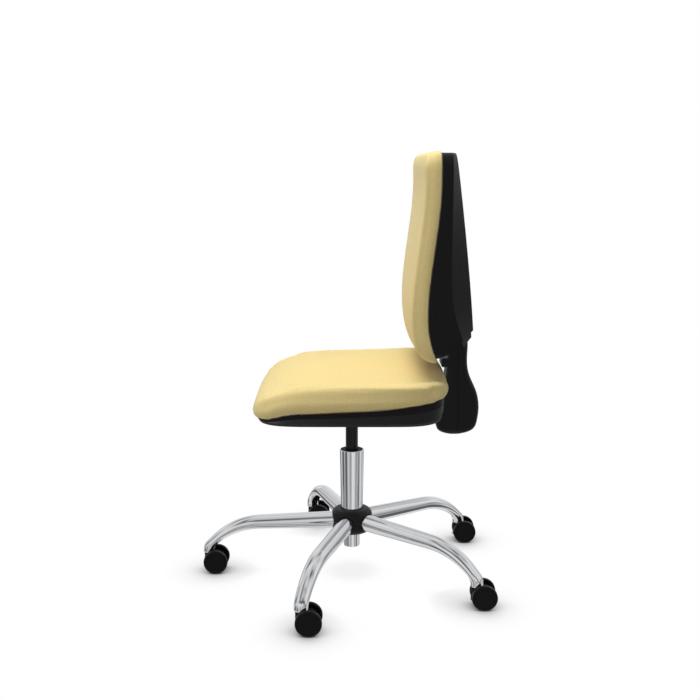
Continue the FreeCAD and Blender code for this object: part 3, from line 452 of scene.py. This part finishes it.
# %% Keep the seat out of the chrome
for body in ("seat", "height_lever", "tilt_lever", "back_support", "backrest"):
    for node in frame["record"]["behaviour"]["bodies"][body]:
        frame["nodes"][node].visible_glossy = False
print("left out of mirror images:", sum(not o.visible_glossy for o in frame["nodes"].values()), "nodes")

# %% [markdown]
# ## Cushions
# Each cushion is moulded foam under a tight cover. The CAD solid has its crown and its drawn-in sides. A copy of
# it, remeshed to even squares that lie on the solid's surface, is blown up by cloth simulation, so that the cover
# takes the soft tension of cloth over foam. The side that is glued to the board stays where it is. Elsewhere a
# point may swell by a few millimetres, and the foam behind the cover keeps it from going in. The shoulder
# between top and sides is then drawn out into a tighter fold.


# %% Meshes and modifiers
def mesh_points(mesh):
    points = np.empty(len(mesh.vertices) * 3)
    mesh.vertices.foreach_get("co", points)
    return points.reshape(-1, 3)


def mesh_normals(mesh):
    normals = np.empty(len(mesh.vertices) * 3)
    mesh.vertices.foreach_get("normal", normals)
    return normals.reshape(-1, 3)


def set_points(mesh, points):
    mesh.vertices.foreach_set("co", points.ravel())
    mesh.update()


def finished_mesh(piece):
    """The piece's mesh with its modifiers worked in, as a new plain mesh."""
    graph = bpy.context.evaluated_depsgraph_get()
    graph.update()
    return bpy.data.meshes.new_from_object(piece.evaluated_get(graph))


def bake_modifiers(piece):
    worked = finished_mesh(piece)
    piece.modifiers.clear()
    piece.data = worked


def subdivide(piece):
    finer = piece.modifiers.new("finer", "SUBSURF")
    finer.levels = 1
    finer.render_levels = 1
    bake_modifiers(piece)


print("points of the seat cushion's solid:", len(mesh_points(frame["nodes"]["seat_cushion"].data)))

# %% Blank of a cushion
weld_reach = 0.01 * mm


def cushion_blank(node, name, voxel_mm):
    """Copy of a CAD cushion in even squares."""
    bm = bmesh.new()
    bm.from_mesh(frame["nodes"][node].data)
    bmesh.ops.remove_doubles(bm, verts=bm.verts, dist=weld_reach)
    mesh = bpy.data.meshes.new(name)
    bm.to_mesh(mesh)
    bm.free()
    piece = add_object(name, mesh)
    squares = piece.modifiers.new("squares", "REMESH")
    squares.mode = "VOXEL"
    squares.voxel_size = voxel_mm * mm
    fit = piece.modifiers.new("fit", "SHRINKWRAP")
    fit.target = frame["nodes"][node]
    fit.wrap_method = "NEAREST_SURFACEPOINT"
    bake_modifiers(piece)
    return piece


seat_pad = cushion_blank("seat_cushion", "seat_pad", voxel_mm=5.0)
back_pad = cushion_blank("back_cushion", "back_pad", voxel_mm=4.5)
print("blanks:", len(seat_pad.data.polygons), "and", len(back_pad.data.polygons), "squares")

# %% Swelling under pressure
sim_frames = 20
cloth_pressure = 4.0
cloth_quality = 4


def blow_up(piece, glued, cap_mm):
    """Cloth under pressure. Glued points stay, and no other point goes in or moves further than the cap."""
    start = mesh_points(piece.data)
    outward = mesh_normals(piece.data)
    group = piece.vertex_groups.new(name="glued")
    group.add([int(i) for i in np.flatnonzero(glued)], 1.0, "REPLACE")
    cloth = piece.modifiers.new("cloth", "CLOTH")
    cloth.settings.vertex_group_mass = group.name
    cloth.settings.use_pressure = True
    cloth.settings.uniform_pressure_force = cloth_pressure
    cloth.settings.effector_weights.gravity = 0.0
    cloth.settings.quality = cloth_quality
    cloth.point_cache.frame_start = 1
    cloth.point_cache.frame_end = sim_frames
    for number in range(1, sim_frames + 1):
        scene.frame_set(number)
    swollen = mesh_points(finished_mesh(piece))
    piece.modifiers.clear()
    piece.vertex_groups.clear()
    scene.frame_set(1)
    move = swollen - start
    rise = (move * outward).sum(axis=1, keepdims=True)
    move -= np.minimum(rise, 0.0) * outward
    length = np.linalg.norm(move, axis=1, keepdims=True)
    move *= np.minimum(1.0, cap_mm * mm / np.maximum(length, 1e-9))
    set_points(piece.data, start + move)
    print(piece.name, "moved by up to", round(float(np.linalg.norm(move, axis=1).max()) / mm, 1), "mm")


# %% Fold along the shoulder
fold_rows = 48                  # slices of a cushion in which its base, its top and its width are measured
fold_start = 0.6                # the fold begins at this share of the shoulder's height
fold_fade = 30                  # and fades out over this many millimetres before the cushion's ends


def tighten_fold(piece, glued, along, up, edge_share, shoulder_share, widen, lift_mm):
    """Pushes a cushion's shoulder out and up, so that the cloth turns from top to side in a tighter fold.

    The slices follow each other on the axis along, and up is the axis away from the board, negative where that
    points down the axis. The shoulder lies at edge_share of the crown's height and at shoulder_share of the half
    width. There the cushion becomes wider by the share widen, and higher by lift_mm.
    """
    points = mesh_points(piece.data)
    place = points[:, along]
    height = points[:, abs(up)] * np.sign(up)
    rows = np.linspace(place.min(), place.max(), fold_rows + 1)
    row = np.clip(np.digitize(place, rows) - 1, 0, fold_rows - 1)
    middles = (rows[1:] + rows[:-1]) / 2
    based = [r for r in range(fold_rows) if (glued & (row == r)).any()]
    base = np.interp(place, middles[based], [height[glued & (row == r)].mean() for r in based])
    top = np.interp(place, middles, [height[row == r].max() for r in range(fold_rows)])
    half_width = np.interp(place, middles, [np.abs(points[row == r, 0]).max() for r in range(fold_rows)])
    raised = (height - base) / np.maximum(top - base, mm) / edge_share
    outer = np.abs(points[:, 0]) / half_width / shoulder_share
    inside = np.minimum(place - place.min(), place.max() - place) / (fold_fade * mm)
    push = np.clip((raised - fold_start) / (1 - fold_start), 0, 1) ** 2 * np.clip(outer, 0, 1) ** 4
    push *= np.clip(inside, 0, 1)
    points[:, 0] *= 1 + widen * push
    points[:, abs(up)] += np.sign(up) * lift_mm * mm * push
    set_points(piece.data, points)


# %% Cover of a cushion
def upholster(piece, node, body):
    for polygon in piece.data.polygons:
        polygon.use_smooth = True
    piece.data.materials.clear()
    piece.data.materials.append(finishes["sand_fabric"])
    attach(piece, body)
    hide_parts(node)
    piece.visible_glossy = False
    print(piece.name, len(piece.data.polygons), "faces")


# %% [markdown]
# ### Seat cushion
# The seat cover is one piece, drawn tight over the foam and stapled under the board, so no seam shows. The edge
# between its top and its sides is only a soft turn of the cloth.

# %% Seat cushion
facing = 0.6                    # a point is glued where its normal points at the board by more than this share
seat_glued = mesh_normals(seat_pad.data)[:, 2] < -facing
blow_up(seat_pad, seat_glued, cap_mm=2.5)
tighten_fold(seat_pad, seat_glued, along=1, up=2, edge_share=0.7, shoulder_share=0.84, widen=0.05, lift_mm=7.0)
subdivide(seat_pad)
upholster(seat_pad, "seat_cushion", "seat")

# %% [markdown]
# ### Back cushion
# The same, stood upright. Its rear face is glued to the moulded board, and it swells forward at the lumbar.

# %% Back cushion
back_glued = mesh_normals(back_pad.data)[:, 1] > facing
blow_up(back_pad, back_glued, cap_mm=0.8)
tighten_fold(back_pad, back_glued, along=2, up=-1, edge_share=0.85, shoulder_share=0.916, widen=0.059,
             lift_mm=0.0)
subdivide(back_pad)
upholster(back_pad, "back_cushion", "backrest")

# %% [markdown]
# ## Tube legs
# A leg is round tube, bent in one arc, pressed flatter towards its tip and turned down over the castor. The CAD
# leg is lofted through a few ovals, which leaves a fold where the slanted tube meets the upright end. Its visible
# skin is swept again here through many ovals. Along the tube an oval stands square to the centreline. At the tip
# its outer and inner ends follow two curves that turn down together, and the lower edge is rolled in a little.
# From there the skin rises inside the tip, clear of the castor's stem.

# %% Sizes of a leg, in millimetres
leg_start = 36.0                # places along the centreline: where the tube leaves the hub,
leg_level = 211.9               # where its straight run ends,
leg_bend = 114.5                # how long its arc is,
leg_length = 345.8              # and where the tip's flattening is complete
leg_hub_height = 126.0          # of the centreline, produced to the column's axis
leg_bend_radius = 160.0
leg_droop = math.radians(2)     # of the straight run
leg_slope = math.radians(43)    # at the end of the arc
leg_round, leg_waist, leg_tip = (20.0, 20.0), (15.7, 18.5), (9.0, 15.0)     # half thickness and half width
leg_flatten = 1.6               # power with which the arc flattens
tip_ends = np.array(((343.3, 47.5), (316.3, 47.5)))     # outer and inner, radius and height
tip_handles = ((23.0, 18.0), (6.0, 8.0))                # lengths of the curves' handles, outer and inner
rolled_edge = ((1.0, 0.8), (0.985, 0.25), (0.95, 0.0), (0.88, 0.0), (0.6, 13.5))    # size and height of an oval
tube_ovals = 44
tip_ovals = 12
print("a leg has", tube_ovals + tip_ovals - 1 + len(rolled_edge), "ovals")


# %% Shape of a leg
def leg_oval(along):
    """Outer end, inner end and half width of the oval at a place on the centreline."""
    angle = leg_droop + max(along - leg_level, 0) / leg_bend_radius
    level = min(along, leg_level)
    centre = np.array((
        level * math.cos(leg_droop) + leg_bend_radius * (math.sin(angle) - math.sin(leg_droop)),
        leg_hub_height - level * math.sin(leg_droop)
        + leg_bend_radius * (math.cos(angle) - math.cos(leg_droop))))
    if along < leg_level:
        share, near, away = along / leg_level, leg_round, leg_waist
    else:
        share = ((along - leg_level) / (leg_length - leg_level)) ** leg_flatten
        near, away = leg_waist, leg_tip
    thick, wide = (a + (b - a) * share for a, b in zip(near, away))
    square = np.array((math.sin(angle), math.cos(angle))) * thick
    return centre + square, centre - square, wide


def turned_down(start, end, handles, share):
    """Point on a curve that leaves along the slope and ends pointing down."""
    first = start + np.array((math.cos(leg_slope), -math.sin(leg_slope))) * handles[0]
    last = end + np.array((0, handles[1]))
    rest = 1 - share
    return rest ** 3 * start + 3 * rest ** 2 * share * first + 3 * rest * share ** 2 * last + share ** 3 * end


ovals = [leg_oval(along) for along in np.linspace(leg_start, leg_level + leg_bend, tube_ovals)]
bend_outer, bend_inner, bend_width = ovals[-1]
for share in np.linspace(0, 1, tip_ovals + 1)[1:-1]:
    ovals.append((turned_down(bend_outer, tip_ends[0], tip_handles[0], share),
                  turned_down(bend_inner, tip_ends[1], tip_handles[1], share),
                  bend_width + (leg_tip[1] - bend_width) * share))
tip_middle = tip_ends.mean(axis=0)
for size, lift in rolled_edge:
    outer, inner = tip_middle + (tip_ends - tip_middle) * size + np.array((0, lift))
    ovals.append((outer, inner, leg_tip[1] * size))
print("ovals:", len(ovals))

# %% Skin of a leg
ring_points = 40
turns = np.linspace(0, 2 * math.pi, ring_points, endpoint=False)
rings = []
for outer, inner, wide in ovals:
    in_plane = (outer + inner) / 2 + np.outer(np.cos(turns), (outer - inner) / 2)
    rings.append(np.column_stack((in_plane[:, 0], wide * np.sin(turns), in_plane[:, 1])) * mm)
skin = np.concatenate(rings)

numbers = np.arange(len(skin)).reshape(-1, ring_points)         # one row of point numbers per ring
beside = np.roll(numbers, -1, axis=1)
sides = np.stack((numbers[:-1], beside[:-1], beside[1:], numbers[1:]), axis=-1).reshape(-1, 4).tolist()
ends = [numbers[0].tolist(), numbers[-1].tolist()]
print("skin:", len(skin), "points")

# %% Legs
leg_angles = {"front": -90, "left_front": -18, "left_rear": 54, "right_rear": 126, "right_front": 198}
for place, degrees in leg_angles.items():
    turn = math.radians(degrees)
    spin = np.array(((math.cos(turn), math.sin(turn), 0), (-math.sin(turn), math.cos(turn), 0), (0, 0, 1)))
    leg_mesh = bpy.data.meshes.new("tube_leg_" + place)
    leg_mesh.from_pydata((skin @ spin).tolist(), [], sides + ends)
    bm = bmesh.new()
    bm.from_mesh(leg_mesh)
    bmesh.ops.recalc_face_normals(bm, faces=bm.faces[:])
    bm.to_mesh(leg_mesh)
    bm.free()
    for polygon in leg_mesh.polygons:
        polygon.use_smooth = len(polygon.vertices) == 4
    leg_mesh.materials.append(finishes["chrome"])
    tube_leg = add_object("tube_leg_" + place, leg_mesh)
    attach(tube_leg, "base")
    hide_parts("leg_" + place)
print("legs:", len(leg_angles), "of", len(sides) + len(ends), "faces each")

# %% [markdown]
# ## Lining of the seat shell
# The shell's rear wall is open beside each rear corner, where its hollow runs out. A strip of the same black
# plastic lines the wall there, so that neither cushion nor board shows. The convex hull of the shell's rear end
# follows the wall's outside, so a piece is cut from that hull, moved just inside the wall and given a thickness.

# %% Hull of the shell's rear end
lining_sides = (120 * mm, 185 * mm)
lining_height = 55 * mm
lining_from = 120 * mm
lining_margin = 5 * mm          # cut off at the front, where the hull is closed by a flat face
lining_below_rim = 0.5 * mm
lining_weld = 0.05 * mm
rear_facing = 0.1               # a face belongs to the rear wall where its normal points back by this share

shell_points = mesh_points(frame["nodes"]["seat_shell"].data)
rear_end = shell_points[shell_points[:, 1] > lining_from]
rear_rim = rear_end[:, 2].max()
bm = bmesh.new()
for point in rear_end:
    bm.verts.new(point)
bmesh.ops.convex_hull(bm, input=bm.verts)
bmesh.ops.delete(bm, geom=[v for v in bm.verts if not v.link_faces], context="VERTS")
cuts = (((lining_sides[0], 0, 0), (-1, 0, 0)),
        ((lining_sides[1], 0, 0), (1, 0, 0)),
        ((0, 0, rear_rim - lining_below_rim), (0, 0, 1)),
        ((0, 0, rear_rim - lining_height), (0, 0, -1)),
        ((0, lining_from + lining_margin, 0), (0, -1, 0)))
for place, outward in cuts:
    bmesh.ops.bisect_plane(bm, geom=bm.verts[:] + bm.edges[:] + bm.faces[:], plane_co=place, plane_no=outward,
                           clear_outer=True)
bm.normal_update()
bmesh.ops.delete(bm, geom=[f for f in bm.faces if f.normal.y < rear_facing], context="FACES")
bmesh.ops.remove_doubles(bm, verts=bm.verts, dist=lining_weld)
print("piece of the hull:", len(bm.faces), "faces")

# %% Lining
lining_depth = 1.2 * mm         # below the wall's outside
lining_thickness = 1.0 * mm

bm.normal_update()
for vertex, shift in [(v, v.normal * lining_depth) for v in bm.verts]:
    vertex.co -= shift
bmesh.ops.solidify(bm, geom=bm.faces[:], thickness=lining_thickness)
other_side = bmesh.ops.duplicate(bm, geom=bm.verts[:] + bm.edges[:] + bm.faces[:])["geom"]
for vertex in [part for part in other_side if isinstance(part, bmesh.types.BMVert)]:
    vertex.co.x = -vertex.co.x
bmesh.ops.recalc_face_normals(bm, faces=bm.faces[:])
lining_mesh = bpy.data.meshes.new("shell_lining")
bm.to_mesh(lining_mesh)
bm.free()
lining_mesh.materials.append(finishes["black_plastic"])
shell_lining = add_object("shell_lining", lining_mesh)
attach(shell_lining, "seat")
shell_lining.visible_glossy = False
print("lining:", len(lining_mesh.polygons), "faces")

# %% [markdown]
# ## Screws under the seat
# Four pan-head screws hold the seat shell to the board. They repeat, so Geometry Nodes make them: a tapered head
# with a crossed recess is built once and set on each point. The tree has named sizes, ends in real geometry and
# is then turned into a plain mesh.

# %% Tree for the screws
screw_sizes = {"Head radius": 4.0, "Head height": 2.4, "Recess width": 1.2}     # millimetres
crown_share = 0.65              # the head tapers to this share of its radius
head_corners = 20


def screw_tree(finish):
    tree = bpy.data.node_groups.new("pan_head_screws", "GeometryNodeTree")
    tree.interface.new_socket("Points", in_out="INPUT", socket_type="NodeSocketGeometry")
    for name, size in screw_sizes.items():
        socket = tree.interface.new_socket(name, in_out="INPUT", socket_type="NodeSocketFloat")
        socket.default_value = size * mm
    tree.interface.new_socket("Screws", in_out="OUTPUT", socket_type="NodeSocketGeometry")
    given = add_node(tree, "NodeGroupInput")
    radius = given.outputs["Head radius"]
    height = given.outputs["Head height"]
    head = add_node(tree, "GeometryNodeMeshCone", {
        "Vertices": head_corners, "Radius Top": math_node(tree, "MULTIPLY", radius, crown_share),
        "Radius Bottom": radius, "Depth": height})
    arm = add_node(tree, "ShaderNodeCombineXYZ", {"X": radius, "Y": given.outputs["Recess width"], "Z": height})
    bar = add_node(tree, "GeometryNodeMeshCube", {"Size": arm.outputs[0]})
    raised = add_node(tree, "ShaderNodeCombineXYZ", {"Z": height})
    first = add_node(tree, "GeometryNodeTransform", {"Geometry": bar.outputs["Mesh"],
                                                     "Translation": raised.outputs[0]})
    second = add_node(tree, "GeometryNodeTransform", {"Geometry": first.outputs[0],
                                                      "Rotation": (0, 0, math.pi / 2)})
    cut = add_node(tree, "GeometryNodeMeshBoolean", {0: head.outputs["Mesh"]}, operation="DIFFERENCE")
    tree.links.new(first.outputs[0], cut.inputs[1])
    tree.links.new(second.outputs[0], cut.inputs[1])
    copies = add_node(tree, "GeometryNodeInstanceOnPoints", {
        "Points": given.outputs["Points"], "Instance": cut.outputs["Mesh"], "Rotation": (math.pi, 0, 0)})
    real = add_node(tree, "GeometryNodeRealizeInstances", {0: copies.outputs[0]})
    painted = add_node(tree, "GeometryNodeSetMaterial", {"Geometry": real.outputs[0], "Material": finish})
    add_node(tree, "NodeGroupOutput", {"Screws": painted.outputs[0]})
    return tree


# %% Screws
screw_side = 120 * mm
screw_rows = (-110 * mm, 120 * mm)
shell_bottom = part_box("seat_shell")[0].z
screw_points = [(x, y, shell_bottom) for x in (-screw_side, screw_side) for y in screw_rows]
screw_mesh = bpy.data.meshes.new("shell_screws")
screw_mesh.from_pydata(screw_points, [], [])
shell_screws = add_object("shell_screws", screw_mesh)
shell_screws.modifiers.new("screws", "NODES").node_group = screw_tree(finishes["bright_steel"])
bake_modifiers(shell_screws)
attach(shell_screws, "seat")
print("screws:", len(shell_screws.data.polygons), "faces")
